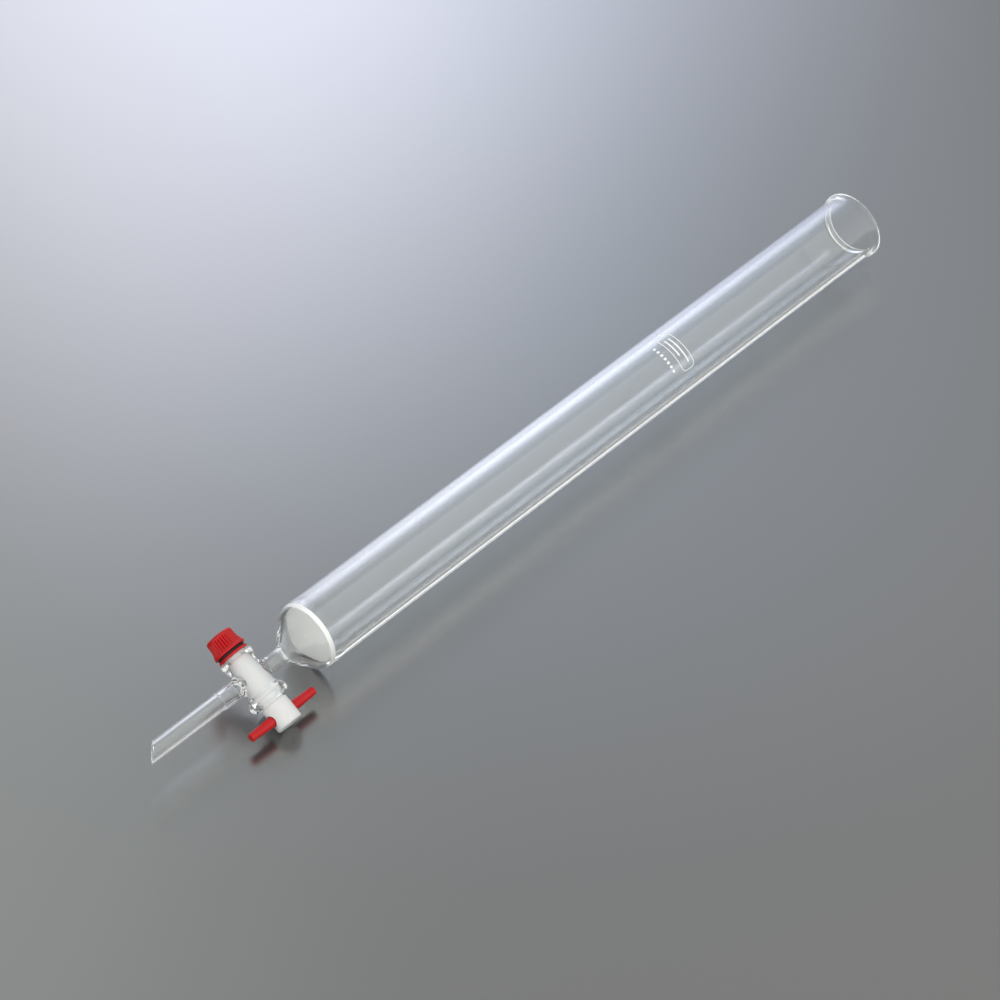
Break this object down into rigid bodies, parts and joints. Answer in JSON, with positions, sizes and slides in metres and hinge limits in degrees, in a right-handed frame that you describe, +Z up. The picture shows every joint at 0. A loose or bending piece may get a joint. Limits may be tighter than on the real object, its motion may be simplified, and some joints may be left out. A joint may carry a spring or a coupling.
{
  "type": "glass chromatography column with stopcock",
  "caption": "Straight glass column lying flat: open beaded rim, white sintered disc, short cone, plastic stopcock with lever and screw nut, bevelled outlet tube.",
  "frame": {"origin": "on the bench, under the middle of the object's bounding box", "axes": "+X along the column from the outlet tip to the open rim, +Z up from the bench; the plug's hub points towards -Y and down"},
  "size_m": [0.5046, 0.0526, 0.0378],
  "materials": {
    "clear_glass": "clear polished borosilicate glass",
    "sintered_glass": "matt white fused glass grains",
    "white_ptfe": "waxy satin PTFE with fine turning marks",
    "red_plastic": "moulded red polypropylene, soft gloss",
    "black_rubber": "satin black rubber"
  },
  "bodies": {
    "glass_column": {"column_tube": "clear_glass", "fritted_disc": "sintered_glass", "stopcock_barrel": "clear_glass", "outlet_tube": "clear_glass"},
    "plug": {"stopcock_plug": "white_ptfe", "handle_lever": "red_plastic"},
    "seals": {"seal_washer": "red_plastic", "seal_ring": "black_rubber"},
    "nut": {"retaining_nut": "red_plastic"}
  },
  "joints": [
    {"name": "plug_turn", "type": "hinge", "parent": "glass_column", "child": "plug", "pos_m": [-0.18488, 0.00135, 0.0189], "axis": [0, 0.8824, 0.4706], "continuous": true},
    {"name": "nut_travel", "type": "slide", "parent": "plug", "child": "seals", "axis": [0, 0.8824, 0.4706], "range_m": [0, 0.008]},
    {"name": "nut_turn", "type": "hinge", "parent": "seals", "child": "nut", "pos_m": [-0.18488, 0.00135, 0.0189], "axis": [0, 0.8824, 0.4706], "range_deg": [0, 1440]}
  ],
  "couplings": [
    {"joint": "nut_travel", "follows": "nut_turn", "m_per_rad": 0.00031831}
  ]
}
